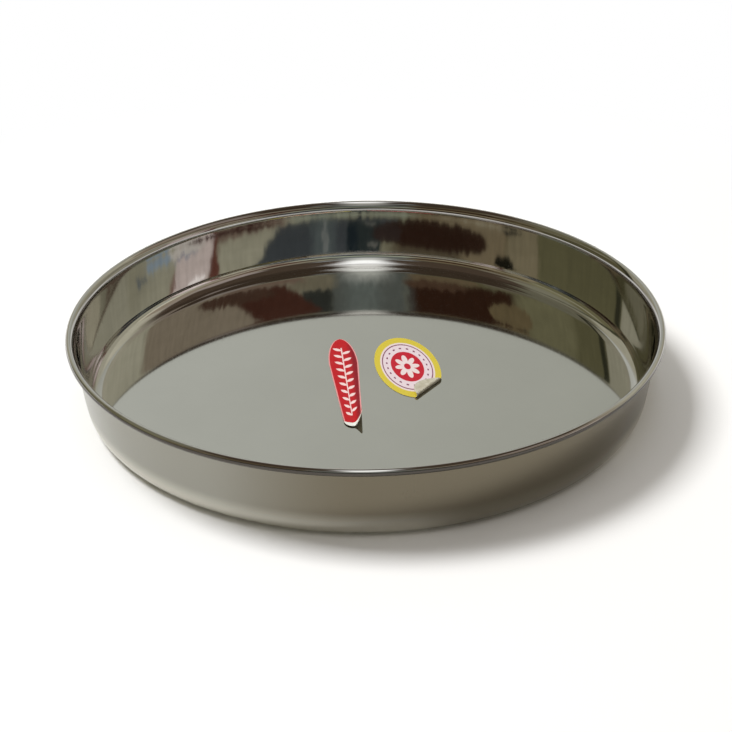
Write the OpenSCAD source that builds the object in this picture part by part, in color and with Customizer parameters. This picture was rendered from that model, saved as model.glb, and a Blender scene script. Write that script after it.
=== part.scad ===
// Deep round thali plate: one drawn steel sheet with a curled edge, and two paper labels on its floor.
// The origin is the centre of the underside, +Z is up, and -Y is the side nearest the viewer.

/* [Plate] */
// Overall diameter, over the curled edge
plate_d = 300; // [240:1:360]
// Overall height, from the underside to the top of the curled edge
plate_h = 39.5; // [32:0.5:60]
// Thickness of the steel sheet
sheet_t = 0.6; // [0.4:0.05:0.7]
// Inside radius of the corner between floor and wall
corner_r = 8; // [4:0.5:12]
// Outward lean of the wall at its top, in degrees
wall_lean = 1.5; // [0:0.5:6]
// How much more the wall leans at its foot, in degrees
wall_bow = 5.5; // [1:0.5:9]

/* [Rim] */
// Radius at which the wall flares out under the curled edge
flare_r = 7.5; // [5:0.5:10]
// Outward lean at which the flare runs into the curl, in degrees
flare_lean = 45; // [30:1:55]
// Outside diameter of the curl
curl_d = 3.3; // [2.6:0.1:4.5]
// How far round the edge is curled, in degrees
curl_turn = 285; // [200:5:285]

/* [Long label] */
// Thickness of the paper of both labels
paper_t = 0.2; // [0.15:0.05:0.4]
// Length in front of the widest point, and behind it
long_l = [65, 28]; // [20:1:70]
// Width at the widest point, and at the front end before it is rounded
long_w = [15.6, 8.6]; // [4:0.2:24]
// Place of the widest point on the floor
long_at = [-11.9, 12.8]; // [-25:0.1:25]
// Turn of the label away from the line of sight, in degrees
long_turn = 5; // [-30:0.5:30]
// Length over which the front end is rounded
long_end = 5; // [4:0.5:16]
// Length of the front end that has peeled off the floor
peel_l = 35; // [10:1:50]
// Height of the left and of the right side of the front end over the floor
peel_h = [0.5, 8]; // [0:0.5:8]

/* [Oval label] */
// Width and length
oval_size = [33.6, 66]; // [20:0.2:80]
// Place of its centre on the floor
oval_at = [21.9, 8.4]; // [-25:0.1:25]
// Turn of its long axis away from the line of sight, in degrees
oval_turn = 9.4; // [-30:0.2:30]
// Distance from its centre to the line where it folds
fold_at = 21.6; // [14:0.2:24]
// Direction of the folded end, in degrees from the right
fold_turn = -37; // [-70:1:-10]
// Length of the end beyond that line, measured along the paper
fold_l = 8.4; // [5:0.2:12]
// Radius of the rolled fold
fold_r = 1.1; // [0.6:0.1:2]
// Angle at which the folded end stands open
fold_open = 8; // [0:1:30]

/* [Hidden] */

curl_out = curl_d / 2;
foot_lean = wall_lean + wall_bow;
// Direction square to the sheet and away from the dish, where the sheet leans outward by an angle
function away(lean) = [cos(lean), -sin(lean)];
// Centres of the profile's arcs, as radius and height. Each arc's radius is that of the dish's inner side
curl_c = [plate_d / 2 - curl_out, plate_h - curl_out];
flare_c = curl_c + (flare_r - curl_out) * away(flare_lean);
wall_top = flare_c - flare_r * away(wall_lean);
wall_foot_z = sheet_t + corner_r * (1 - sin(foot_lean));
wall_r = (wall_top.y - wall_foot_z) / (sin(foot_lean) - sin(wall_lean));
wall_c = wall_top - wall_r * away(wall_lean);
corner_c = wall_c + (wall_r - corner_r) * away(foot_lean);
// Steps along each arc, and round the plate
corner_steps = 12;
wall_steps = 6;
flare_steps = 8;
curl_steps = 26;
round_steps = 180;

// Rows of the long label and points across it
long_rows = 26;
long_cols = 8;
// Rows of the oval label's flat part, of its fold and of its folded end
oval_rows = [22, 9, 8];
// Share of the half length at which the label outlines end in a short straight edge
end_share = 0.9985;

function ring_point(a, r) = [r * cos(a), r * sin(a)];
function unit(v) = v / norm(v);
function mix(a, b, k) = a + (b - a) * k;
// Rotates a point of the floor plan and moves it to its place on the floor
function placed(p, turn, at) = [
    at.x + p.x * cos(turn) - p.y * sin(turn),
    at.y + p.x * sin(turn) + p.y * cos(turn),
    sheet_t + p.z
];

// Points along an arc, after its first. Its radius is below 0 where its centre is outside the dish
function arc(c, r, from, to, steps) = [for (i = [1:steps]) c + r * away(mix(from, to, i / steps))];
// One side of the sheet from the end of the floor to the cut edge, at a distance below the dish's inner side
function sheet_side(t) = concat(
    [corner_c + (corner_r + t) * away(90)],
    arc(corner_c, corner_r + t, 90, foot_lean, corner_steps),
    arc(wall_c, wall_r + t, foot_lean, wall_lean, wall_steps),
    arc(flare_c, t - flare_r, wall_lean, flare_lean, flare_steps),
    arc(curl_c, t - curl_out, flare_lean, flare_lean + curl_turn, curl_steps)
);
function reversed(list) = [for (i = [len(list) - 1:-1:0]) list[i]];

// Half section of the drawn sheet: out along its underside, and back along its inner side
module sheet_profile() {
    polygon(concat([[0, 0]], sheet_side(sheet_t), reversed(sheet_side(0)), [[0, sheet_t]]));
}

module plate() {
    color("silver") rotate_extrude($fn = round_steps) sheet_profile();
}

// Upward normal of a grid of points, at row i and column j
function grid_normal(g, i, j) = unit(cross(
    g[min(i + 1, len(g) - 1)][j] - g[max(i - 1, 0)][j],
    g[i][min(j + 1, len(g[0]) - 1)] - g[i][max(j - 1, 0)]
));

// Closed sheet of paper over a grid of points of its underside, with rows forward and columns to the right
module paper(g) {
    rows = len(g);
    cols = len(g[0]);
    under = [for (i = [0:rows - 1]) for (j = [0:cols - 1]) g[i][j]];
    over = [for (i = [0:rows - 1]) for (j = [0:cols - 1]) g[i][j] + paper_t * grid_normal(g, i, j)];
    count = rows * cols;
    under_faces = [for (i = [0:rows - 2]) for (j = [0:cols - 2]) let (k = i * cols + j)
        each [[k, k + 1, k + cols], [k + 1, k + cols + 1, k + cols]]];
    over_faces = [for (f = under_faces) [f[2] + count, f[1] + count, f[0] + count]];
    border = concat(
        [for (j = [0:cols - 2]) j],
        [for (i = [0:rows - 2]) i * cols + cols - 1],
        [for (j = [cols - 1:-1:1]) (rows - 1) * cols + j],
        [for (i = [rows - 1:-1:1]) i * cols]
    );
    sides = [for (k = [0:len(border) - 1]) let (a = border[k], b = border[(k + 1) % len(border)])
        each [[a, a + count, b], [b, a + count, b + count]]];
    polyhedron(concat(under, over), concat(under_faces, over_faces, sides));
}

// Half width of the long label's taper at a distance behind its widest point
function long_taper(u) = mix(long_w[0], long_w[1], -u / long_l[0]) / 2;
// Half width of the label: round behind its widest point, and tapered to a rounded end in front
function long_half(u) = u > 0
    ? long_w[0] / 2 * sqrt(1 - (u / long_l[1]) ^ 2)
    : long_taper(u) * sqrt(1 - max(0, (long_end - long_l[0] - u) / long_end) ^ 2);
// Height of its peeled front end at a distance to the right. The right half curls up from a crease
function long_rise(x, u) = let (
    along = max(0, (peel_l - long_l[0] - u) / peel_l),
    across = max(0, x / long_taper(u))
) mix(peel_h[0], peel_h[1], across ^ 2) * along ^ 2;

module long_label() {
    grid = [for (i = [0:long_rows]) let (
        u = end_share * mix(long_l[1], -long_l[0], (1 - cos(180 * i / long_rows)) / 2)
    ) [for (j = [0:long_cols]) let (x = (2 * j / long_cols - 1) * long_half(u))
        placed([x, u, long_rise(x, u)], long_turn, long_at)]];
    color("crimson") paper(grid);
}

// The oval is cut by lines along its fold. n is the folded end's direction in the oval's own axes
oval_a = oval_size.x / 2;
oval_b = oval_size.y / 2;
fold_n = ring_point(fold_turn - oval_turn, 1);
fold_c = [-fold_n.y, fold_n.x];
cut_a = (fold_c.x / oval_a) ^ 2 + (fold_c.y / oval_b) ^ 2;
cut_b = fold_n.x * fold_c.x / oval_a ^ 2 + fold_n.y * fold_c.y / oval_b ^ 2;
cut_c = (fold_n.x / oval_a) ^ 2 + (fold_n.y / oval_b) ^ 2;
// Distance from the oval's centre to its edge, square to the fold
oval_reach = sqrt((oval_a * fold_n.x) ^ 2 + (oval_b * fold_n.y) ^ 2);
// Middle and half length of the cut at a distance from the centre
function cut_mid(s) = -cut_b * s / cut_a;
function cut_half(s) = sqrt(max(0, (cut_b * s) ^ 2 - cut_a * (cut_c * s ^ 2 - 1))) / cut_a;

// Paper past the fold line runs round the fold, and then back over the label
fold_max = 180 - fold_open;
roll_l = fold_r * fold_max * PI / 180;
function fold_path(past) = past <= 0 ? [past, 0]
    : past <= roll_l ? let (a = past / roll_l * fold_max) [fold_r * sin(a), fold_r * (1 - cos(a))]
    : [fold_r * sin(fold_max), fold_r * (1 - cos(fold_max))] + ring_point(fold_max, past - roll_l);
// The end beyond the fold is the rest of the oval, drawn out to its own length
function oval_cut(past) = fold_at + past * (past > 0 ? (oval_reach * end_share - fold_at) / fold_l : 1);

module oval_label() {
    flat_l = fold_at + oval_reach * end_share;
    end_l = fold_l - roll_l;
    pasts = concat(
        [for (i = [0:oval_rows[0]]) -flat_l * cos(90 * i / oval_rows[0])],
        [for (i = [1:oval_rows[1]]) roll_l * i / oval_rows[1]],
        [for (i = [1:oval_rows[2]]) roll_l + end_l * sin(90 * i / oval_rows[2])]
    );
    grid = [for (past = pasts) let (s = oval_cut(past), path = fold_path(past))
        [for (side = [-1, 1]) let (
            t = cut_mid(s) + side * cut_half(s),
            flat = (fold_at + path.x) * fold_n + t * fold_c
        ) placed([flat.x, flat.y, path.y], oval_turn, oval_at)]];
    color("gold") paper(grid);
}

plate();
long_label();
oval_label();
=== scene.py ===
import math

import bpy
import numpy as np
from mathutils import Matrix, Vector


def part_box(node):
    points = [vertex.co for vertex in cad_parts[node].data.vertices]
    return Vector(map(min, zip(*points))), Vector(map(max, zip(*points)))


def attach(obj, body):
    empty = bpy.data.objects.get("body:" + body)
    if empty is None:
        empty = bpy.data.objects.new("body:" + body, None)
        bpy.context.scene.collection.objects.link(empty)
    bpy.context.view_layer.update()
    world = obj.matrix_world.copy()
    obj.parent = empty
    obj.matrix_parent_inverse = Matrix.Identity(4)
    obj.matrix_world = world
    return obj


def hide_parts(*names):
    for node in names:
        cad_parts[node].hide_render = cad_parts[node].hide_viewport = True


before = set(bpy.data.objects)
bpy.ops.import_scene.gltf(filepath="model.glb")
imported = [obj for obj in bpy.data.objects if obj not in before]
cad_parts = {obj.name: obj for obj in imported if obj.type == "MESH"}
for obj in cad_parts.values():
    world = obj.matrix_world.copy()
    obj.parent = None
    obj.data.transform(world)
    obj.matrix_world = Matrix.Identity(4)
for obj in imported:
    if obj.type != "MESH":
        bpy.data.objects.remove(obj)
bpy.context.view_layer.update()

MM = 0.001

# Steel sheet of the dish. Radii are those of its inner side, and leans are away from upright
SHEET = 0.6 * MM
CORNER_R = 8 * MM
FLARE_R = 7.5 * MM
CURL_D = 3.3 * MM
TOP_LEAN = math.radians(1.5)
FOOT_LEAN = math.radians(7)
FLARE_LEAN = math.radians(45)
CURL_TURN = math.radians(285)

# Steps of the dish's profile, and round it
CORNER_STEPS = 32
WALL_STEPS = 14
FLARE_STEPS = 20
CURL_STEPS = 38
ROUND_STEPS = 384
# Steps of the curl that have the inside's polish. The rest has the outside's finish
POLISHED_STEPS = 14
# Part of the flare, as heights, that has painted shade: dark reflection painted in broken rings
FLARE_LOW, FLARE_HIGH = 35 * MM, 38.9 * MM
# Side of the outer wall that has painted shade, a darker and browner tint, in degrees from the viewer's
# side towards +X
SHADED_SIDE = 32
# Radii between which the underside goes over into the outer wall, which alone has the painted side shade
UNDER_END, WALL_START = 131 * MM, 139 * MM
# Heights between which the painted light on the outer wall's foot fades out, and the height from which
# painted shade darkens the groove under the curl and the curl's outer half
FOOT_LOW, FOOT_HIGH = 5 * MM, 15 * MM
CURL_SHADE_AT = 35 * MM
# Width of the narrow row that keeps the flat floor flat up to its end
GUARD = 0.4 * MM
# Points of the turned sheet that are nearer than this are one point
JOIN_WITHIN = 0.01 * MM
# Angle from which an edge of the steel, and of the paper, is shaded as sharp
STEEL_SHARP = math.radians(40)
PAPER_SHARP = math.radians(50)

# Paper labels. The same sizes as the solids have
PAPER = 0.2 * MM
GLUE = 0.02 * MM
END_SHARE = 0.9985
LONG_BACK, LONG_FRONT = 28 * MM, 65 * MM
LONG_WIDE, LONG_NARROW = 15.6 * MM, 8.6 * MM
LONG_AT = (-11.9 * MM, 12.8 * MM)
LONG_TURN = math.radians(5)
LONG_END = 5 * MM
PEEL_L = 35 * MM
PEEL_LEFT, PEEL_RIGHT = 0.5 * MM, 8 * MM
OVAL_W, OVAL_L = 33.6 * MM, 66 * MM
OVAL_AT = (21.9 * MM, 8.4 * MM)
OVAL_TURN = math.radians(9.4)
FOLD_AT = 21.6 * MM
FOLD_TURN = math.radians(-37)
FOLD_L = 8.4 * MM
FOLD_R = 1.1 * MM
FOLD_OPEN = math.radians(8)

# Camera, fitted to the outline of the plate in a picture of 732 by 732
IMAGE = 732
FOCAL = 1280.8
SENSOR = 36.0
CAMERA_TILT = math.radians(28.79)
CAMERA_ROLL = math.radians(-0.866)
CAMERA_DISTANCE = 0.668
AIM_HEIGHT = 6.0 * MM


def colour(red, green, blue):
    """Linear colour of a colour given in the 0 to 255 steps of a picture."""
    steps = np.array([red, green, blue]) / 255
    linear = np.where(steps <= 0.04045, steps / 12.92, ((steps + 0.055) / 1.055) ** 2.4)
    return (*linear, 1.0)


# Node trees

def add(tree, kind, inputs=None, **settings):
    """Adds a node. inputs gives values or sockets by the name or number of the node's own sockets."""
    made = tree.nodes.new(kind)
    for name, value in settings.items():
        setattr(made, name, value)
    for key, value in (inputs or {}).items():
        if isinstance(value, bpy.types.NodeSocket):
            tree.links.new(value, made.inputs[key])
        else:
            made.inputs[key].default_value = value
    return made


def calc(tree, operation, *values):
    """A sum of numbers or sockets, named as Blender names it."""
    return add(tree, "ShaderNodeMath", dict(enumerate(values)), operation=operation).outputs[0]


def total(tree, *values):
    """The sum of two or more numbers or sockets."""
    result = values[0]
    for value in values[1:]:
        result = calc(tree, "ADD", result, value)
    return result


def ramp(tree, value, start, end, low=0.0, high=1.0, smooth=False):
    """low before start, high after end, and even or smooth between them."""
    inputs = {"Value": value, "From Min": start, "From Max": end, "To Min": low, "To Max": high}
    kind = "SMOOTHSTEP" if smooth else "LINEAR"
    return add(tree, "ShaderNodeMapRange", inputs, interpolation_type=kind, clamp=True).outputs["Result"]


def window_of(tree, value, low, high, soft):
    """1 where value is between low and high, 0 outside, with soft steps."""
    rise = ramp(tree, value, low - soft, low + soft, 0.0, 1.0, True)
    fall = ramp(tree, value, high - soft, high + soft, 1.0, 0.0, True)
    return calc(tree, "MULTIPLY", rise, fall)


def blend(tree, share, first, second):
    """A colour between two colours or sockets."""
    made = add(tree, "ShaderNodeMix", {"Factor": share}, data_type="RGBA")
    for socket, value in ((made.inputs[6], first), (made.inputs[7], second)):
        if isinstance(value, bpy.types.NodeSocket):
            tree.links.new(value, socket)
        else:
            socket.default_value = value
    return made.outputs[2]


# Dish

def turned_sheet_tree():
    """Turns the middle line of the sheet round the upright axis and gives it its thickness.

    The line is a flat floor and four arcs: corner, wall, flare and curl. A flat grid is bent to it. Its
    columns run out along the inner side to the cut edge and back along the outer side, and its rows run
    round the dish."""
    tree = bpy.data.node_groups.new("turned_sheet", "GeometryNodeTree")
    tree.interface.new_socket("Geometry", in_out="OUTPUT", socket_type="NodeSocketGeometry")
    for name in ("Flat Radius", "Sheet", "Corner Radius", "Wall Radius", "Flare Radius", "Curl Radius",
                 "Foot Lean", "Top Lean", "Flare Lean", "End Lean"):
        tree.interface.new_socket(name, in_out="INPUT", socket_type="NodeSocketFloat")
    tree.interface.new_socket("Steps Round", in_out="INPUT", socket_type="NodeSocketInt")
    for name in ("Floor", "Inside", "Outside"):
        tree.interface.new_socket(name, in_out="INPUT", socket_type="NodeSocketMaterial")
    size = add(tree, "NodeGroupInput").outputs

    corner_at = 2
    wall_at = corner_at + CORNER_STEPS
    flare_at = wall_at + WALL_STEPS
    curl_at = flare_at + FLARE_STEPS
    last = curl_at + CURL_STEPS
    middle = last + 0.5
    rows = calc(tree, "ADD", size["Steps Round"], 1.0)
    grid_sizes = {"Size X": 2 * middle, "Size Y": 1.0, "Vertices X": 2 * last + 2, "Vertices Y": rows}
    grid = add(tree, "GeometryNodeMeshGrid", grid_sizes).outputs["Mesh"]
    place = add(tree, "GeometryNodeInputPosition").outputs[0]
    place = add(tree, "ShaderNodeSeparateXYZ", {0: place}).outputs

    keep = add(tree, "GeometryNodeCaptureAttribute", {"Geometry": grid})
    keep.capture_items.new("FLOAT", "Column")
    tree.links.new(place["X"], keep.inputs["Column"])
    column = keep.outputs["Column"]
    station = calc(tree, "SUBTRACT", middle, calc(tree, "ABSOLUTE", column))
    half = calc(tree, "MULTIPLY", size["Sheet"], 0.5)
    offset = calc(tree, "MULTIPLY", calc(tree, "SIGN", column), half)

    flat_long = calc(tree, "SUBTRACT", size["Flat Radius"], GUARD)
    guard = ramp(tree, station, 1, corner_at, 0, GUARD)
    radius = calc(tree, "ADD", ramp(tree, station, 0, 1, 0, flat_long), guard)
    height = half
    lean = math.pi / 2
    corner = calc(tree, "ADD", size["Corner Radius"], half)
    wall = calc(tree, "ADD", size["Wall Radius"], half)
    flare = calc(tree, "SUBTRACT", half, size["Flare Radius"])
    curl = calc(tree, "SUBTRACT", half, size["Curl Radius"])
    arcs = (
        (corner_at, wall_at, corner, math.pi / 2, size["Foot Lean"]),
        (wall_at, flare_at, wall, size["Foot Lean"], size["Top Lean"]),
        (flare_at, curl_at, flare, size["Top Lean"], size["Flare Lean"]),
        (curl_at, last, curl, size["Flare Lean"], size["End Lean"]),
    )
    for start, end, bend, first, final in arcs:
        now = ramp(tree, station, start, end, first, final)
        out = calc(tree, "SUBTRACT", calc(tree, "COSINE", now), calc(tree, "COSINE", first))
        up = calc(tree, "SUBTRACT", calc(tree, "SINE", first), calc(tree, "SINE", now))
        radius = calc(tree, "ADD", radius, calc(tree, "MULTIPLY", bend, out))
        height = calc(tree, "ADD", height, calc(tree, "MULTIPLY", bend, up))
        lean = calc(tree, "ADD", lean, calc(tree, "SUBTRACT", now, first))
    radius = calc(tree, "ADD", radius, calc(tree, "MULTIPLY", offset, calc(tree, "COSINE", lean)))
    height = calc(tree, "SUBTRACT", height, calc(tree, "MULTIPLY", offset, calc(tree, "SINE", lean)))

    turn = calc(tree, "MULTIPLY", place["Y"], math.tau)
    point = add(tree, "ShaderNodeCombineXYZ", {
        "X": calc(tree, "MULTIPLY", radius, calc(tree, "COSINE", turn)),
        "Y": calc(tree, "MULTIPLY", radius, calc(tree, "SINE", turn)),
        "Z": height,
    }).outputs[0]
    inputs = {"Geometry": keep.outputs["Geometry"], "Position": point}
    whole = add(tree, "GeometryNodeSetPosition", inputs).outputs[0]
    inputs = {"Geometry": whole, "Distance": JOIN_WITHIN}
    whole = add(tree, "GeometryNodeMergeByDistance", inputs).outputs[0]
    whole = add(tree, "GeometryNodeSetShadeSmooth", {"Geometry": whole}).outputs[0]
    whole = add(tree, "GeometryNodeRealizeInstances", {"Geometry": whole}).outputs[0]
    inputs = {"Geometry": whole, "Material": size["Outside"]}
    whole = add(tree, "GeometryNodeSetMaterial", inputs).outputs[0]
    for name, end in (("Inside", curl_at + POLISHED_STEPS - middle), ("Floor", corner_at - middle)):
        inputs = {"A": column, "B": end}
        chosen = add(tree, "FunctionNodeCompare", inputs, operation="LESS_THAN").outputs[0]
        inputs = {"Geometry": whole, "Selection": chosen, "Material": size[name]}
        whole = add(tree, "GeometryNodeSetMaterial", inputs).outputs[0]
    add(tree, "NodeGroupOutput", {"Geometry": whole})
    return tree


def grown(name, tree, values):
    """The plain mesh that a tree of geometry nodes makes, as a new object."""
    host = bpy.data.objects.new(name + "_nodes", bpy.data.meshes.new(name))
    bpy.context.scene.collection.objects.link(host)
    modifier = host.modifiers.new(name, "NODES")
    modifier.node_group = tree
    for item in tree.interface.items_tree:
        if item.in_out == "INPUT":
            modifier[item.identifier] = values[item.name]
    host.update_tag()
    depsgraph = bpy.context.evaluated_depsgraph_get()
    mesh = bpy.data.meshes.new_from_object(host.evaluated_get(depsgraph))
    bpy.data.objects.remove(host)
    mesh.name = name
    piece = bpy.data.objects.new(name, mesh)
    bpy.context.scene.collection.objects.link(piece)
    return piece


def away(lean):
    """Direction square to the sheet and away from the dish, as radius and height.

    The floor leans a right angle."""
    return np.array([math.cos(lean), -math.sin(lean)])


def make_dish():
    low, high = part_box("plate")
    curl_out = CURL_D / 2
    curl_c = np.array([(high.x - low.x) / 2 - curl_out, high.z - curl_out])
    flare_c = curl_c + (FLARE_R - curl_out) * away(FLARE_LEAN)
    wall_top = flare_c - FLARE_R * away(TOP_LEAN)
    wall_foot = SHEET + CORNER_R * (1 - math.sin(FOOT_LEAN))
    wall_r = (wall_top[1] - wall_foot) / (math.sin(FOOT_LEAN) - math.sin(TOP_LEAN))
    corner_c = wall_top - wall_r * away(TOP_LEAN) + (wall_r - CORNER_R) * away(FOOT_LEAN)
    piece = grown("dish", turned_sheet_tree(), {
        "Flat Radius": corner_c[0],
        "Sheet": SHEET,
        "Corner Radius": CORNER_R,
        "Wall Radius": wall_r,
        "Flare Radius": FLARE_R,
        "Curl Radius": curl_out,
        "Foot Lean": FOOT_LEAN,
        "Top Lean": TOP_LEAN,
        "Flare Lean": FLARE_LEAN,
        "End Lean": FLARE_LEAN + CURL_TURN,
        "Steps Round": ROUND_STEPS,
        "Floor": steel_floor(),
        "Inside": steel_inside(),
        "Outside": steel_outside(),
    })
    piece.data.set_sharp_from_angle(angle=STEEL_SHARP)
    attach(piece, "root")
    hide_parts("plate")


# Steel

def material(name):
    """A new material with its tree and its one shader."""
    made = bpy.data.materials.new(name)
    made.use_nodes = True
    tree = made.node_tree
    return made, tree, tree.nodes["Principled BSDF"]


def round_place(tree, turns, rise):
    """Coordinates that stay whole round the dish.

    They have turns waves to the radius and rise waves to the metre of height."""
    parts = object_parts(tree)
    level = add(tree, "ShaderNodeCombineXYZ", {"X": parts["X"], "Y": parts["Y"]}).outputs[0]
    ring = add(tree, "ShaderNodeVectorMath", {0: level}, operation="NORMALIZE").outputs[0]
    spread = add(tree, "ShaderNodeVectorMath", {0: ring, "Scale": turns}, operation="SCALE").outputs[0]
    lift = add(tree, "ShaderNodeCombineXYZ", {"Z": calc(tree, "MULTIPLY", parts["Z"], rise)}).outputs[0]
    return add(tree, "ShaderNodeVectorMath", {0: spread, 1: lift}, operation="ADD").outputs[0]


def object_parts(tree):
    """X, Y and Z of the place on the object."""
    place = add(tree, "ShaderNodeTexCoord").outputs["Object"]
    return add(tree, "ShaderNodeSeparateXYZ", {0: place}).outputs


def noise(tree, place, scale, detail=2.0, rough=0.5):
    """Soft random patches between 0 and 1, smaller at a higher scale."""
    inputs = {"Vector": place, "Scale": scale, "Detail": detail, "Roughness": rough}
    return add(tree, "ShaderNodeTexNoise", inputs).outputs["Fac"]


def finish_steel(tree, shader, tint, rough, grain, grain_height):
    """Joins the colour, the roughness and the fine relief of a steel surface to its shader."""
    shader.inputs["Metallic"].default_value = 1.0
    tree.links.new(tint, shader.inputs["Base Color"])
    tree.links.new(rough, shader.inputs["Roughness"])
    bump = add(tree, "ShaderNodeBump", {"Height": grain, "Distance": grain_height, "Strength": 1.0})
    tree.links.new(bump.outputs[0], shader.inputs["Normal"])


def steel_inside():
    """Polished wall and the top of the curl, with faint upright drawing lines and a few smears.

    The corner is a little worn, and the flare has painted shade: dark reflection painted into it in broken
    rings."""
    made, tree, shader = material("polished_steel")
    lines = noise(tree, round_place(tree, 1.0, 1.5), 260.0, 3.0)
    smears = noise(tree, round_place(tree, 1.0, 20.0), 7.0, 4.0, 0.6)
    tint = blend(tree, smears, (0.52, 0.51, 0.48, 1), (0.66, 0.65, 0.63, 1))
    level = object_parts(tree)["Z"]
    worn = ramp(tree, level, 5 * MM, 9 * MM, 0.05, 0.0, True)
    rings = noise(tree, round_place(tree, 1.0, 900.0), 2.0, 4.0)
    rings = ramp(tree, rings, 0.35, 0.62, 0.35, 1.0)
    # Painted shade: dark reflection is painted into the flare's colour in broken rings.
    flare = window_of(tree, level, FLARE_LOW, FLARE_HIGH, 1.2 * MM)
    tint = blend(tree, calc(tree, "MULTIPLY", flare, rings), tint, (0.27, 0.25, 0.225, 1))
    lined = ramp(tree, lines, 0.4, 0.8, 0.03, 0.06)
    smeared = ramp(tree, smears, 0.6, 0.9, 0.0, 0.02)
    rough = total(tree, lined, smeared, worn)
    finish_steel(tree, shader, tint, rough, lines, 0.0012 * MM)
    return made


def steel_floor():
    """Floor: a soft mirror with fine rolling lines and faint clouds."""
    made, tree, shader = material("floor_steel")
    place = add(tree, "ShaderNodeTexCoord").outputs["Object"]
    inputs = {"Vector": place, "Scale": (1.0, 0.06, 1.0)}
    lines = noise(tree, add(tree, "ShaderNodeMapping", inputs).outputs[0], 1400.0, 3.0)
    clouds = noise(tree, place, 14.0, 4.0, 0.6)
    tint = blend(tree, clouds, (0.56, 0.56, 0.53, 1), (0.64, 0.64, 0.61, 1))
    clouded = ramp(tree, clouds, 0.3, 0.7, 0.045, 0.06)
    rough = calc(tree, "ADD", clouded, ramp(tree, lines, 0.5, 0.8, 0.0, 0.03))
    finish_steel(tree, shader, tint, rough, lines, 0.001 * MM)
    return made


def steel_outside():
    """Outer wall, underside and the outer half of the curl: satin, with fine upright polishing lines.

    The outer wall has painted shade, darker and browner on one side, and painted light at its foot. The
    groove under the curl and the curl's outer half have painted shade, a near black tint."""
    made, tree, shader = material("satin_steel")
    lines = noise(tree, round_place(tree, 1.0, 1.0), 420.0, 3.0, 0.55)
    clouds = noise(tree, round_place(tree, 1.0, 8.0), 2.5, 3.0)
    tint = blend(tree, clouds, (0.27, 0.264, 0.226, 1), (0.315, 0.31, 0.274, 1))
    parts = object_parts(tree)
    level = parts["Z"]
    across = calc(tree, "MULTIPLY", parts["X"], parts["X"])
    radius = calc(tree, "SQRT", calc(tree, "MULTIPLY_ADD", parts["Y"], parts["Y"], across))
    on_wall = ramp(tree, radius, UNDER_END, WALL_START, 0.0, 1.0, True)
    # Painted shade: the outer wall is tinted darker and browner on one side, from the front towards the
    # right.
    shaded_way = math.radians(SHADED_SIDE)
    facing = add(tree, "ShaderNodeVectorMath", {
        0: round_place(tree, 1.0, 0.0),
        1: (math.sin(shaded_way), -math.cos(shaded_way), 0),
    }, operation="DOT_PRODUCT").outputs["Value"]
    painted_side_shade = calc(tree, "MULTIPLY", on_wall, ramp(tree, facing, 0.45, 0.85, 0.0, 1.0, True))
    tint = blend(tree, painted_side_shade, tint, (0.165, 0.145, 0.105, 1))
    # Where that painted shade is deepest, the painted light at the foot is held back.
    deepest_side_shade = calc(tree, "MULTIPLY", on_wall, ramp(tree, facing, 0.9, 0.98, 0.0, 0.7, True))
    # Painted light: the foot of the outer wall is tinted bright, fading out upwards.
    foot = ramp(tree, level, FOOT_LOW, FOOT_HIGH, 0.8, 0.0, True)
    foot = calc(tree, "MULTIPLY", foot, calc(tree, "SUBTRACT", 1.0, deepest_side_shade))
    tint = blend(tree, foot, tint, (0.64, 0.62, 0.545, 1))
    # Painted shade: above this height the outside, the groove under the curl and the curl's outer half, is
    # tinted near black.
    painted_curl_shade = ramp(tree, level, CURL_SHADE_AT - 0.3 * MM, CURL_SHADE_AT + 0.4 * MM, 0.0, 1.0, True)
    tint = blend(tree, painted_curl_shade, tint, (0.085, 0.077, 0.068, 1))
    lined = ramp(tree, lines, 0.3, 0.8, 0.20, 0.27)
    rough = calc(tree, "ADD", lined, ramp(tree, clouds, 0.4, 0.7, 0.0, 0.03))
    finish_steel(tree, shader, tint, rough, lines, 0.002 * MM)
    return made


# Labels

def paper_piece(name, under, print_place, edge, top, back):
    """A sheet of paper over a grid of points, with its print on the upper side.

    under is rows by columns of points. print_place is the place of each on the printed face, from 0 to 1,
    and edge is its distance from the outline."""
    rows, columns = under.shape[:2]
    along = np.gradient(under, axis=0)
    across = np.gradient(under, axis=1)
    normal = np.cross(along, across)
    normal /= np.linalg.norm(normal, axis=2, keepdims=True)
    points = np.concatenate([under + normal * GLUE, under + normal * PAPER]).reshape(-1, 3)
    count = rows * columns
    index = np.arange(count).reshape(rows, columns)
    corners = [index[:-1, :-1], index[:-1, 1:], index[1:, 1:], index[1:, :-1]]
    cells = np.stack(corners, axis=-1).reshape(-1, 4)
    border = np.concatenate([index[0, :-1], index[:-1, -1], index[-1, :0:-1], index[:0:-1, 0]])
    following = np.roll(border, -1)
    sides = np.stack([border, border + count, following + count, following], axis=-1)
    faces = np.concatenate([cells, cells[:, ::-1] + count, sides])
    mesh = bpy.data.meshes.new(name)
    mesh.from_pydata(points.tolist(), [], faces.tolist())
    mesh.materials.append(back)
    mesh.materials.append(top)
    printed = np.repeat([0, 1, 0], [len(cells), len(cells), len(sides)])
    mesh.polygons.foreach_set("material_index", printed)
    mesh.polygons.foreach_set("use_smooth", np.ones(len(faces), bool))
    layer = mesh.uv_layers.new(name="print")
    vertices = np.zeros(len(mesh.loops), int)
    mesh.loops.foreach_get("vertex_index", vertices)
    layer.data.foreach_set("uv", print_place.reshape(-1, 2)[vertices % count].ravel())
    distance = mesh.attributes.new("edge", "FLOAT", "POINT")
    distance.data.foreach_set("value", np.tile(edge.ravel(), 2))
    mesh.set_sharp_from_angle(angle=PAPER_SHARP)
    piece = bpy.data.objects.new(name, mesh)
    bpy.context.scene.collection.objects.link(piece)
    return piece


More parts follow.
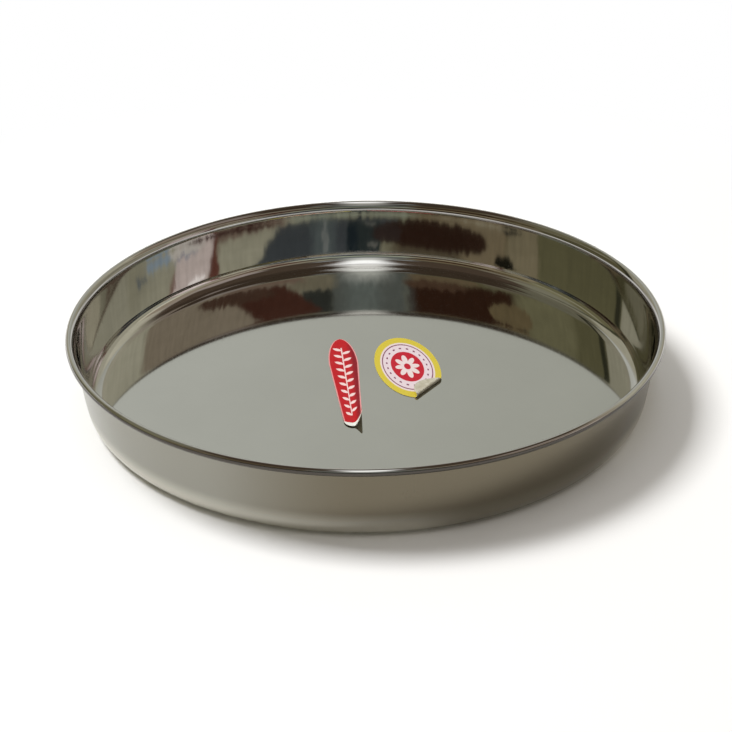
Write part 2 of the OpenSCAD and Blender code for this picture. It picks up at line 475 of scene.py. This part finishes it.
def on_floor(x, y, z, turn, at):
    """Points of a label's own plan turned and moved to their place on the floor."""
    return np.stack([
        at[0] + x * math.cos(turn) - y * math.sin(turn),
        at[1] + x * math.sin(turn) + y * math.cos(turn),
        SHEET + z,
    ], axis=-1)


def mix(a, b, share):
    """A value between two values."""
    return a + (b - a) * share


def make_long_label():
    """Tapered label. Its front end has come off the floor, and its right half curls up from a crease."""
    rows, columns = 120, 24
    turn = np.linspace(0, math.pi, rows + 1)[:, None]
    u = END_SHARE * mix(LONG_BACK, -LONG_FRONT, (1 - np.cos(turn)) / 2)
    share = np.linspace(-1, 1, columns + 1)[None, :]
    taper = mix(LONG_WIDE, LONG_NARROW, np.clip(-u / LONG_FRONT, 0, 1)) / 2
    behind = LONG_WIDE / 2 * np.sqrt(np.clip(1 - (u / LONG_BACK) ** 2, 0, 1))
    rounded = np.clip((LONG_END - LONG_FRONT - u) / LONG_END, 0, 1)
    half = np.where(u > 0, behind, taper * np.sqrt(1 - rounded ** 2))
    x = share * half
    y = u + 0 * share
    peeled = np.clip((PEEL_L - LONG_FRONT - u) / PEEL_L, 0, 1)
    z = mix(PEEL_LEFT, PEEL_RIGHT, np.clip(x / taper, 0, 1) ** 2) * peeled ** 2
    under = on_floor(x, y, z, LONG_TURN, LONG_AT)
    along = (y + LONG_FRONT) / (LONG_FRONT + LONG_BACK)
    print_place = np.stack([x / taper / 2 + 0.5, along], axis=-1)
    inward = half - np.abs(x)
    piece = paper_piece("red_label", under, print_place, inward, red_print(), bare_paper())
    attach(piece, "root")
    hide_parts("long_label")


def fold_path(past):
    """Way and height of the paper at a distance past the fold line."""
    sweep = math.pi - FOLD_OPEN
    roll = FOLD_R * sweep
    turn = np.clip(past, 0, roll) / FOLD_R
    beyond = np.maximum(past - roll, 0)
    way = np.minimum(past, 0) + FOLD_R * np.sin(turn) + beyond * math.cos(sweep)
    height = FOLD_R * (1 - np.cos(turn)) + beyond * math.sin(sweep)
    return way, height


def make_oval_label():
    """Oval label. Its end is rolled over a small fold and lies back over the label."""
    flat_rows, roll_rows, end_rows, columns = 60, 16, 14, 30
    a, b = OVAL_W / 2, OVAL_L / 2
    direction = FOLD_TURN - OVAL_TURN
    nx, ny = math.cos(direction), math.sin(direction)
    reach = math.hypot(a * nx, b * ny)
    flat_l = FOLD_AT + reach * END_SHARE
    roll_l = FOLD_R * (math.pi - FOLD_OPEN)
    quarter = math.pi / 2
    past = np.concatenate([
        -flat_l * np.cos(np.linspace(0, quarter, flat_rows + 1)),
        roll_l * np.linspace(0, 1, roll_rows + 1)[1:],
        roll_l + (FOLD_L - roll_l) * np.sin(np.linspace(0, quarter, end_rows + 1))[1:],
    ])[:, None]
    stretch = (reach * END_SHARE - FOLD_AT) / FOLD_L
    cut = FOLD_AT + past * np.where(past > 0, stretch, 1.0)
    cut_a = (ny / a) ** 2 + (nx / b) ** 2
    cut_b = -nx * ny / a ** 2 + nx * ny / b ** 2
    cut_c = (nx / a) ** 2 + (ny / b) ** 2
    centre = -cut_b * cut / cut_a
    spread = (cut_b * cut) ** 2 - cut_a * (cut_c * cut ** 2 - 1)
    half = np.sqrt(np.clip(spread, 0, None)) / cut_a
    side = np.linspace(-1, 1, columns + 1)[None, :]
    t = centre + half * side
    way, height = fold_path(past)
    x = (FOLD_AT + way) * nx - t * ny
    y = (FOLD_AT + way) * ny + t * nx
    under = on_floor(x, y, height + 0 * side, OVAL_TURN, OVAL_AT)
    flat_x = cut * nx - t * ny
    flat_y = cut * ny + t * nx
    print_place = np.stack([flat_x / OVAL_W + 0.5, flat_y / OVAL_L + 0.5], axis=-1)
    inward = (1 - np.hypot(flat_x / a, flat_y / b)) * a
    piece = paper_piece("yellow_label", under, print_place, inward, oval_print(), bare_paper())
    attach(piece, "root")
    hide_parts("oval_label")


# Paper and print

# The long label's white spray, in millimetres: leaves on both sides of a stem, LEAF_OUT from its middle
LEAF_PITCH = 7.6
LEAF_SLANT = math.radians(52)
LEAF_HALF_WIDTH = 1.25
LEAF_HALF_LENGTH = 2.9
LEAF_OUT = 2.3
STEM_HALF_WIDTH = 0.35
SPRAY_HALF_LENGTH = 36.0
LONG_BORDER = 0.55 * MM
# Length of the unprinted tip, in millimetres
TAIL = 3.4
# Rings of the oval label, as shares of its half width: ends of the white field, the plum line, the pale
# field and the red disc, and the place of the dots
FIELD_END, LINE_END, PALE_END, DISC_END = 0.82, 0.765, 0.735, 0.5
DOTS_AT, DOT_HALF_WIDTH, DOTS = 0.62, 0.022, 20
PETALS = 8
PLUM = colour(112, 34, 74)
DISC_RED = colour(184, 22, 44)


def bare_paper():
    """The unprinted back of a label, with the grey of its old glue."""
    made, tree, shader = material("bare_paper")
    place = add(tree, "ShaderNodeTexCoord").outputs["Object"]
    patches = noise(tree, place, 260.0, 4.0, 0.6)
    tint = blend(tree, ramp(tree, patches, 0.35, 0.65), colour(178, 172, 152), colour(206, 202, 186))
    tree.links.new(tint, shader.inputs["Base Color"])
    shader.inputs["Roughness"].default_value = 0.7
    bump = add(tree, "ShaderNodeBump", {"Height": patches, "Distance": 0.03 * MM})
    tree.links.new(bump.outputs[0], shader.inputs["Normal"])
    return made


def print_size(tree, width, length):
    """Sockets across and along a label, in millimetres from its middle."""
    place = add(tree, "ShaderNodeUVMap", uv_map="print").outputs[0]
    parts = add(tree, "ShaderNodeSeparateXYZ", {0: place}).outputs
    x = calc(tree, "MULTIPLY", calc(tree, "SUBTRACT", parts["X"], 0.5), width / MM)
    y = calc(tree, "MULTIPLY", calc(tree, "SUBTRACT", parts["Y"], 0.5), length / MM)
    return x, y


def below(tree, value, limit, soft):
    """1 where value is below limit, 0 above it, with a soft step."""
    return ramp(tree, value, limit - soft, limit + soft, 1.0, 0.0)


def inked(made, tree, shader, tint):
    """Coated paper: the print has a faint gloss, and the paper is a little uneven."""
    shader.inputs["Specular IOR Level"].default_value = 0.25
    place = add(tree, "ShaderNodeTexCoord").outputs["Object"]
    fibres = noise(tree, place, 900.0, 3.0)
    worn = noise(tree, place, 120.0, 4.0, 0.65)
    dulled = blend(tree, ramp(tree, worn, 0.55, 0.9, 0.0, 0.06), tint, colour(200, 180, 170))
    tree.links.new(dulled, shader.inputs["Base Color"])
    tree.links.new(ramp(tree, worn, 0.3, 0.7, 0.38, 0.5), shader.inputs["Roughness"])
    bump = add(tree, "ShaderNodeBump", {"Height": fibres, "Distance": 0.01 * MM})
    tree.links.new(bump.outputs[0], shader.inputs["Normal"])
    return made


def red_print():
    """Red with a pale border and a white spray of leaves along its middle."""
    made, tree, shader = material("red_print")
    x, y = print_size(tree, LONG_WIDE, LONG_FRONT + LONG_BACK)
    soft = 0.12
    right = ramp(tree, x, -0.001, 0.001)
    shifted = calc(tree, "ADD", y, calc(tree, "MULTIPLY", right, LEAF_PITCH / 2))
    along = calc(tree, "FLOORED_MODULO", shifted, LEAF_PITCH)
    along = calc(tree, "SUBTRACT", along, LEAF_PITCH / 2)
    out = calc(tree, "SUBTRACT", calc(tree, "ABSOLUTE", x), LEAF_OUT)
    across, rise = math.cos(LEAF_SLANT), math.sin(LEAF_SLANT)
    tip = total(tree, calc(tree, "MULTIPLY", out, rise), calc(tree, "MULTIPLY", along, across))
    flank = total(tree, calc(tree, "MULTIPLY", out, across), calc(tree, "MULTIPLY", along, -rise))
    bow = calc(tree, "POWER", calc(tree, "DIVIDE", tip, LEAF_HALF_LENGTH), 2.0)
    bow = calc(tree, "MULTIPLY", bow, LEAF_HALF_WIDTH)
    leaf = below(tree, calc(tree, "ADD", calc(tree, "ABSOLUTE", flank), bow), LEAF_HALF_WIDTH, soft)
    stem = below(tree, calc(tree, "ABSOLUTE", x), STEM_HALF_WIDTH, soft)
    within = below(tree, calc(tree, "ABSOLUTE", y), SPRAY_HALF_LENGTH, soft)
    spray = calc(tree, "MULTIPLY", calc(tree, "MAXIMUM", leaf, stem), within)
    edge = add(tree, "ShaderNodeAttribute", attribute_name="edge").outputs["Fac"]
    border = below(tree, edge, LONG_BORDER, 0.15 * MM)
    half = (LONG_FRONT + LONG_BACK) / 2 / MM
    arc = calc(tree, "MULTIPLY", calc(tree, "POWER", x, 2.0), 0.03)
    tail = below(tree, calc(tree, "SUBTRACT", y, arc), TAIL - half, soft)
    # Painted shade: the red is darker towards the right edge, the side that curls up and turns from the
    # light.
    tint = blend(tree, ramp(tree, x, 2.6, 5.6), colour(180, 16, 28), colour(132, 12, 30))
    tint = blend(tree, spray, tint, colour(232, 206, 204))
    tint = blend(tree, border, tint, colour(222, 150, 150))
    tint = blend(tree, tail, tint, colour(224, 226, 220))
    return inked(made, tree, shader, tint)


def oval_print():
    """Yellow border, white field, a thin plum line, and a red disc with a white flower."""
    made, tree, shader = material("oval_print")
    x, y = print_size(tree, OVAL_W, OVAL_L)
    shares = add(tree, "ShaderNodeCombineXYZ", {
        "X": calc(tree, "DIVIDE", x, OVAL_W / 2 / MM),
        "Y": calc(tree, "DIVIDE", y, OVAL_L / 2 / MM),
    }).outputs[0]
    ring = add(tree, "ShaderNodeVectorMath", {0: shares}, operation="LENGTH").outputs["Value"]
    soft = 0.008
    angle = calc(tree, "ARCTAN2", calc(tree, "DIVIDE", y, 1.7), x)
    petal = calc(tree, "ABSOLUTE", calc(tree, "COSINE", calc(tree, "MULTIPLY", angle, PETALS / 2)))
    flower = below(tree, calc(tree, "SUBTRACT", ring, calc(tree, "MULTIPLY", petal, 0.2)), 0.18, soft)
    heart = below(tree, ring, 0.1, soft)
    beads = calc(tree, "COSINE", calc(tree, "MULTIPLY", angle, float(DOTS)))
    off_dots = calc(tree, "ABSOLUTE", calc(tree, "SUBTRACT", ring, DOTS_AT))
    dot_ring = below(tree, off_dots, DOT_HALF_WIDTH, soft)
    dots = calc(tree, "MULTIPLY", ramp(tree, beads, 0.35, 0.65), dot_ring)
    field = below(tree, ring, FIELD_END, soft)
    tint = blend(tree, field, colour(204, 186, 62), colour(222, 206, 206))
    tint = blend(tree, below(tree, ring, LINE_END, soft), tint, PLUM)
    tint = blend(tree, below(tree, ring, PALE_END, soft), tint, colour(220, 204, 210))
    tint = blend(tree, dots, tint, PLUM)
    tint = blend(tree, below(tree, ring, DISC_END, soft), tint, DISC_RED)
    tint = blend(tree, flower, tint, colour(224, 208, 208))
    tint = blend(tree, heart, tint, DISC_RED)
    return inked(made, tree, shader, tint)


# Stage

FLOOR_REACH = 40.0
# Distances from the plate between which the floor goes over into plain white
WHITE_FROM, WHITE_TO = 0.24, 0.5


def seen_rays(tree):
    """1 for the rays that show the background: those of the camera, and mirrored and transmitted ones."""
    ray = add(tree, "ShaderNodeLightPath").outputs
    seen = total(tree, ray["Is Camera Ray"], ray["Is Glossy Ray"], ray["Is Transmission Ray"])
    return calc(tree, "MINIMUM", seen, 1.0)


def make_floor():
    """A wide white floor that keeps the plate's shadow."""
    mesh = bpy.data.meshes.new("stage_floor")
    reach = FLOOR_REACH
    corners = [(-reach, -reach, 0), (reach, -reach, 0), (reach, reach, 0), (-reach, reach, 0)]
    mesh.from_pydata(corners, [], [(0, 1, 2, 3)])
    floor = bpy.data.objects.new("stage_floor", mesh)
    bpy.context.scene.collection.objects.link(floor)
    made, tree, shader = material("stage_white")
    shader.inputs["Base Color"].default_value = (0.95, 0.95, 0.95, 1)
    shader.inputs["Roughness"].default_value = 1.0
    shader.inputs["Specular IOR Level"].default_value = 0.0
    place = add(tree, "ShaderNodeTexCoord").outputs["Object"]
    distance = add(tree, "ShaderNodeVectorMath", {0: place}, operation="LENGTH").outputs["Value"]
    white = add(tree, "ShaderNodeEmission", {"Color": (1, 1, 1, 1), "Strength": 1.0}).outputs[0]
    far = ramp(tree, distance, WHITE_FROM, WHITE_TO, 0.0, 1.0, True)
    share = calc(tree, "MULTIPLY", seen_rays(tree), far)
    joined = add(tree, "ShaderNodeMixShader", {0: share, 1: shader.outputs[0], 2: white}).outputs[0]
    tree.links.new(joined, tree.nodes["Material Output"].inputs["Surface"])
    mesh.materials.append(made)


# The room that the steel mirrors, in degrees. side is the angle from the viewer's side towards +X, and
# lean is how far an area moves sideways for each degree of height. An area covers the ones before it
ROOM_WALLS = (
    # left, right, low, high, lean, soft, side soft, colour
    # upper walls and ceiling
    (88, 135, 23.2, 28.5, 0, 0.8, 5, (0.80, 0.75, 0.60)),
    (-125, -80, 24.5, 28.4, 0, 0.8, 5, (0.38, 0.36, 0.26)),
    (100, 140, 40, 46, 0, 3, 8, (0.55, 0.50, 0.42)),
    (58, 96, 39, 55, 0, 2, 5, (0.42, 0.36, 0.33)),
    (96, 120, 38, 47, 0, 2, 4, (0.40, 0.33, 0.28)),
    (-150, -90, 38, 58, 0, 2, 6, (0.26, 0.25, 0.18)),
    (-90, -60, 38, 47, 0, 2, 4, (0.24, 0.21, 0.155)),
    (-28, 28, 49, 56, 0, 1.5, 4, (0.32, 0.34, 0.34)),
    # pale walls on the right and the left, and the dark upright on the left
    (50, 119, 28.6, 41, 0, 0.8, 2, (0.365, 0.305, 0.235)),
    (104, 122, 17.5, 22.5, 0, 2, 5, (0.41, 0.39, 0.295)),
    (118, 160, 5, 26, 0, 1, 3, (0.47, 0.45, 0.355)),
    (118, 160, 26, 40, 0, 1, 3, (0.60, 0.575, 0.46)),
    (-160, -134, 5, 40, 0, 3, 1.5, (0.47, 0.45, 0.35)),
    (-133, -128.5, 5, 60, 0, 3, 1.0, (0.05, 0.05, 0.03)),
    # furniture on the viewer's side: tan, brown, then blue and dark
    (-79.5, -63.5, 5, 22.5, 0, 1.2, 1, (0.30, 0.255, 0.165)),
    (-63.5, -20, 5, 25, 0, 1, 1.5, (0.27, 0.215, 0.135)),
    (-42, -12, 5, 13, 0, 1, 4, (0.12, 0.095, 0.06)),
    (-22, 30, 18, 28, 0, 0.5, 5, (0.41, 0.44, 0.35)),
    (-6, 47, 5, 17.6, -1.6, 0.4, 2, (0.072, 0.082, 0.092)),
    (13, 22, 5, 18, 0, 1, 3, (0.125, 0.15, 0.155)),
    (-7, 7, 5, 17, 0, 1, 1.5, (0.033, 0.044, 0.045)),
    (3, 7, 5, 17.5, 0, 0.5, 1.2, (0.018, 0.028, 0.035)),
    # shelf above it, and the pink panel with its red frame
    (34, 76, 17.6, 25, 0, 0.5, 4, (0.26, 0.19, 0.15)),
    (-62, -30, 18.8, 22, 0, 0.4, 4, (0.40, 0.35, 0.25)),
    (65.5, 70.5, 5, 20, 0, 1, 1, (0.17, 0.065, 0.048)),
    (88.5, 94, 5, 17.2, -0.8, 0.6, 1.2, (0.30, 0.18, 0.15)),
    (70.5, 90, 5, 21, -0.6, 0.8, 1.2, (0.84, 0.71, 0.69)),
    # what hangs over the viewer's side: brown, grey, and brown again
    (-80.5, -20, 27.5, 36.9, 0, 0.5, 1.5, (0.05, 0.022, 0.013)),
    (-56, -18, 36.9, 41, 0, 0.5, 3, (0.22, 0.165, 0.10)),
    (-21, 18, 27.5, 44, 0, 1, 5, (0.15, 0.165, 0.155)),
    (-7, 8, 27.5, 44, 0, 1, 4, (0.20, 0.23, 0.22)),
    (15, 30, 27.5, 35, 0, 0.5, 2, (0.05, 0.054, 0.048)),
    (14, 36, 35, 40, 0, 0.6, 3, (0.28, 0.25, 0.18)),
    (26, 57, 27.5, 37.2, 2.6, 0.5, 2, (0.095, 0.038, 0.026)),
    (30, 72, 37.2, 41, 0, 0.5, 4, (0.28, 0.20, 0.155)),
)
# Rounded areas, drawn over the others
ROOM_SPOTS = (
    # side, height, half width, half height, lean, soft, colour
    (-29, 14.5, 24.5, 3.1, -1, 0.12, (0.036, 0.017, 0.011)),
    (-10, 14, 6, 2, 0, 0.5, (0.045, 0.03, 0.027)),
    (-62.5, 12.5, 5, 1.6, 0, 0.3, (0.01, 0.01, 0.007)),
    (-66, 19, 3.5, 0.6, -4, 0.3, (0.05, 0.045, 0.035)),
    (-92, 34, 18, 5, 0, 0.6, (0.255, 0.24, 0.14)),
    (-71, 32.3, 11, 2.2, 0, 0.15, (0.215, 0.165, 0.09)),
    (-34, 36.2, 15, 1.1, 0, 0.5, (0.12, 0.07, 0.045)),
    (64, 35.9, 20, 1.4, 3, 0.3, (0.10, 0.055, 0.038)),
    (60, 19.2, 9, 1.3, 16, 0.4, (0.06, 0.022, 0.017)),
    (77, 13.0, 5, 1.0, 0, 0.3, (1.4, 1.3, 1.3)),
    (82, 19.3, 8, 0.9, 7, 0.4, (0.86, 0.80, 0.76)),
    (82, 18.4, 5, 0.3, 12, 0.5, (0.30, 0.33, 0.45)),
    (97, 20.0, 6, 0.9, 5, 0.4, (0.36, 0.46, 0.58)),
    (108, 19.6, 2.5, 0.8, 4, 0.4, (0.20, 0.22, 0.23)),
    (-3, 11.6, 2.5, 0.35, 0, 0.3, (0.22, 0.22, 0.20)),
    (-3, 16.2, 2.5, 0.35, 0, 0.3, (0.24, 0.24, 0.22)),
    (17, 13.5, 0.9, 4, 0, 0.4, (0.24, 0.26, 0.26)),
)
# Roundness of the spots: 2 is an ellipse, and more is nearer to a rectangle
SPOT_POWER = 2.6
# Sine of the height up to which the world is the white backdrop, and where it has ended
BACKDROP_LOW, BACKDROP_HIGH = 0.12, 0.145


def room_directions(tree):
    """Direction, its X, Y and Z, and its side and height in degrees.

    The last two are shifted a little, so that no edge in the room is ruled straight."""
    around = add(tree, "ShaderNodeTexCoord").outputs["Generated"]
    way = add(tree, "ShaderNodeSeparateXYZ", {0: around}).outputs
    height = calc(tree, "DEGREES", calc(tree, "ARCSINE", way["Z"]))
    front = calc(tree, "MULTIPLY", way["Y"], -1.0)
    side = calc(tree, "DEGREES", calc(tree, "ARCTAN2", way["X"], front))
    shifted = calc(tree, "SUBTRACT", noise(tree, around, 22.0, 5.0, 0.65), 0.5)
    side = calc(tree, "MULTIPLY_ADD", shifted, 7.0, side)
    lifted = calc(tree, "SUBTRACT", noise(tree, around, 30.0, 4.0, 0.6), 0.5)
    height = calc(tree, "MULTIPLY_ADD", lifted, 3.0, height)
    return around, way, side, height


def leaned(tree, side, height, middle, lean):
    """The side as an area sees it that leans about its middle height."""
    return calc(tree, "MULTIPLY_ADD", calc(tree, "SUBTRACT", height, middle), -lean, side)


def room_tint(tree, around, way, side, height):
    """Colours of the room: walls, spots, the glow over the viewer, streaks, back wall and ceiling light."""
    rightward = ramp(tree, side, -60, 60, 0.0, 1.0, True)
    tint = blend(tree, rightward, (0.175, 0.163, 0.088, 1), (0.485, 0.465, 0.36, 1))
    tint = blend(tree, ramp(tree, height, 40, 49, 0.0, 1.0, True), tint, (0.085, 0.06, 0.042, 1))
    for left, right, low, high, lean, soft, side_soft, shade in ROOM_WALLS:
        place = leaned(tree, side, height, (low + high) / 2, lean)
        across = window_of(tree, place, left, right, side_soft)
        inside = calc(tree, "MULTIPLY", across, window_of(tree, height, low, high, soft))
        tint = blend(tree, inside, tint, (*shade, 1))
    for centre, middle, half_width, half_height, lean, soft, shade in ROOM_SPOTS:
        x = calc(tree, "SUBTRACT", leaned(tree, side, height, middle, lean), centre)
        y = calc(tree, "SUBTRACT", height, middle)
        x = calc(tree, "ABSOLUTE", calc(tree, "DIVIDE", x, half_width))
        y = calc(tree, "ABSOLUTE", calc(tree, "DIVIDE", y, half_height))
        x = calc(tree, "POWER", x, SPOT_POWER)
        y = calc(tree, "POWER", y, SPOT_POWER)
        inside = ramp(tree, calc(tree, "ADD", x, y), 1 - soft, 1 + soft, 1.0, 0.0, True)
        tint = blend(tree, inside, tint, (*shade, 1))

    rising = ramp(tree, height, 35, 39.5, 0.0, 1.0, True)
    glow = calc(tree, "MULTIPLY", window_of(tree, side, -10, 8, 8), rising)
    tint = blend(tree, glow, tint, (0.80, 0.82, 0.79, 1))
    upright = add(tree, "ShaderNodeMapping", {"Vector": around, "Scale": (1, 1, 0.2)}).outputs[0]
    uneven = ramp(tree, noise(tree, upright, 40.0, 3.0), 0.3, 0.7, 0.9, 1.1)
    tint = add(tree, "ShaderNodeVectorMath", {0: tint, "Scale": uneven}, operation="SCALE").outputs[0]

    left_right = ramp(tree, way["X"], -0.35, 0.35)
    wall_tint = blend(tree, left_right, (0.66, 0.67, 0.63, 1), (0.44, 0.445, 0.39, 1))
    back = ramp(tree, calc(tree, "ABSOLUTE", side), 156, 164, 0.0, 1.0, True)
    back = calc(tree, "MULTIPLY", back, ramp(tree, height, 46, 54, 1.0, 0.0, True))
    tint = blend(tree, back, tint, wall_tint)

    across = window_of(tree, way["X"], -0.09, 0.09, 0.06)
    along = window_of(tree, way["Y"], -0.5, 0.12, 0.15)
    above = ramp(tree, way["Z"], 0.6, 0.7, 0.0, 1.0, True)
    light = calc(tree, "MULTIPLY", calc(tree, "MULTIPLY", across, along), above)
    return blend(tree, light, tint, (1.7, 1.72, 1.74, 1))


def make_world():
    """A room with a pale wall behind the dish, a bright side and dim furniture on the viewer's side.

    Low over the floor it is a plain white backdrop."""
    world = bpy.data.worlds.new("studio")
    bpy.context.scene.world = world
    world.use_nodes = True
    tree = world.node_tree
    around, way, side, height = room_directions(tree)
    tint = room_tint(tree, around, way, side, height)
    low = ramp(tree, way["Z"], BACKDROP_LOW, BACKDROP_HIGH, 1.0, 0.0, True)
    backdrop = calc(tree, "MULTIPLY", low, seen_rays(tree))
    tint = blend(tree, backdrop, tint, (1, 1, 1, 1))
    background = tree.nodes["Background"]
    tree.links.new(tint, background.inputs["Color"])
    background.inputs["Strength"].default_value = 1.0


def make_lamp(name, side, rise, distance, size, energy):
    """A soft square lamp that points at the dish. side is its angle from the viewer's side towards +X."""
    data = bpy.data.lights.new(name, "AREA")
    data.size = size
    data.energy = energy
    lamp = bpy.data.objects.new(name, data)
    bpy.context.scene.collection.objects.link(lamp)
    side, rise = math.radians(side), math.radians(rise)
    level = math.cos(rise)
    way = Vector((math.sin(side) * level, -math.cos(side) * level, math.sin(rise)))
    lamp.location = way * distance
    lamp.rotation_euler = way.to_track_quat("Z", "Y").to_euler()
    lamp.visible_glossy = False


def make_lamps():
    """Lamps for the floor and the labels. The steel shows the light in the ceiling of the room instead."""
    make_lamp("key", side=-106, rise=60, distance=3.0, size=1.1, energy=76.0)
    make_lamp("fill", side=0, rise=85, distance=2.5, size=2.5, energy=13.0)


def make_camera():
    """The camera of the photograph, as fitted to the outline of the plate."""
    data = bpy.data.cameras.new("camera")
    data.sensor_width = SENSOR
    data.lens = FOCAL / IMAGE * SENSOR
    data.clip_start = 0.01
    data.clip_end = 100
    camera = bpy.data.objects.new("camera", data)
    bpy.context.scene.collection.objects.link(camera)
    back = Vector((0, -math.cos(CAMERA_TILT), math.sin(CAMERA_TILT)))
    side = Vector((1, 0, 0))
    up = back.cross(side)
    right = side * math.cos(CAMERA_ROLL) + up * math.sin(CAMERA_ROLL)
    above = back.cross(right)
    place = Vector((0, 0, AIM_HEIGHT)) + back * CAMERA_DISTANCE
    turned = Matrix((right, above, back)).transposed().to_4x4()
    camera.matrix_world = Matrix.Translation(place) @ turned
    bpy.context.scene.camera = camera


make_dish()
make_long_label()
make_oval_label()
make_floor()
make_world()
make_lamps()
make_camera()
bpy.context.scene.view_settings.view_transform = "Standard"
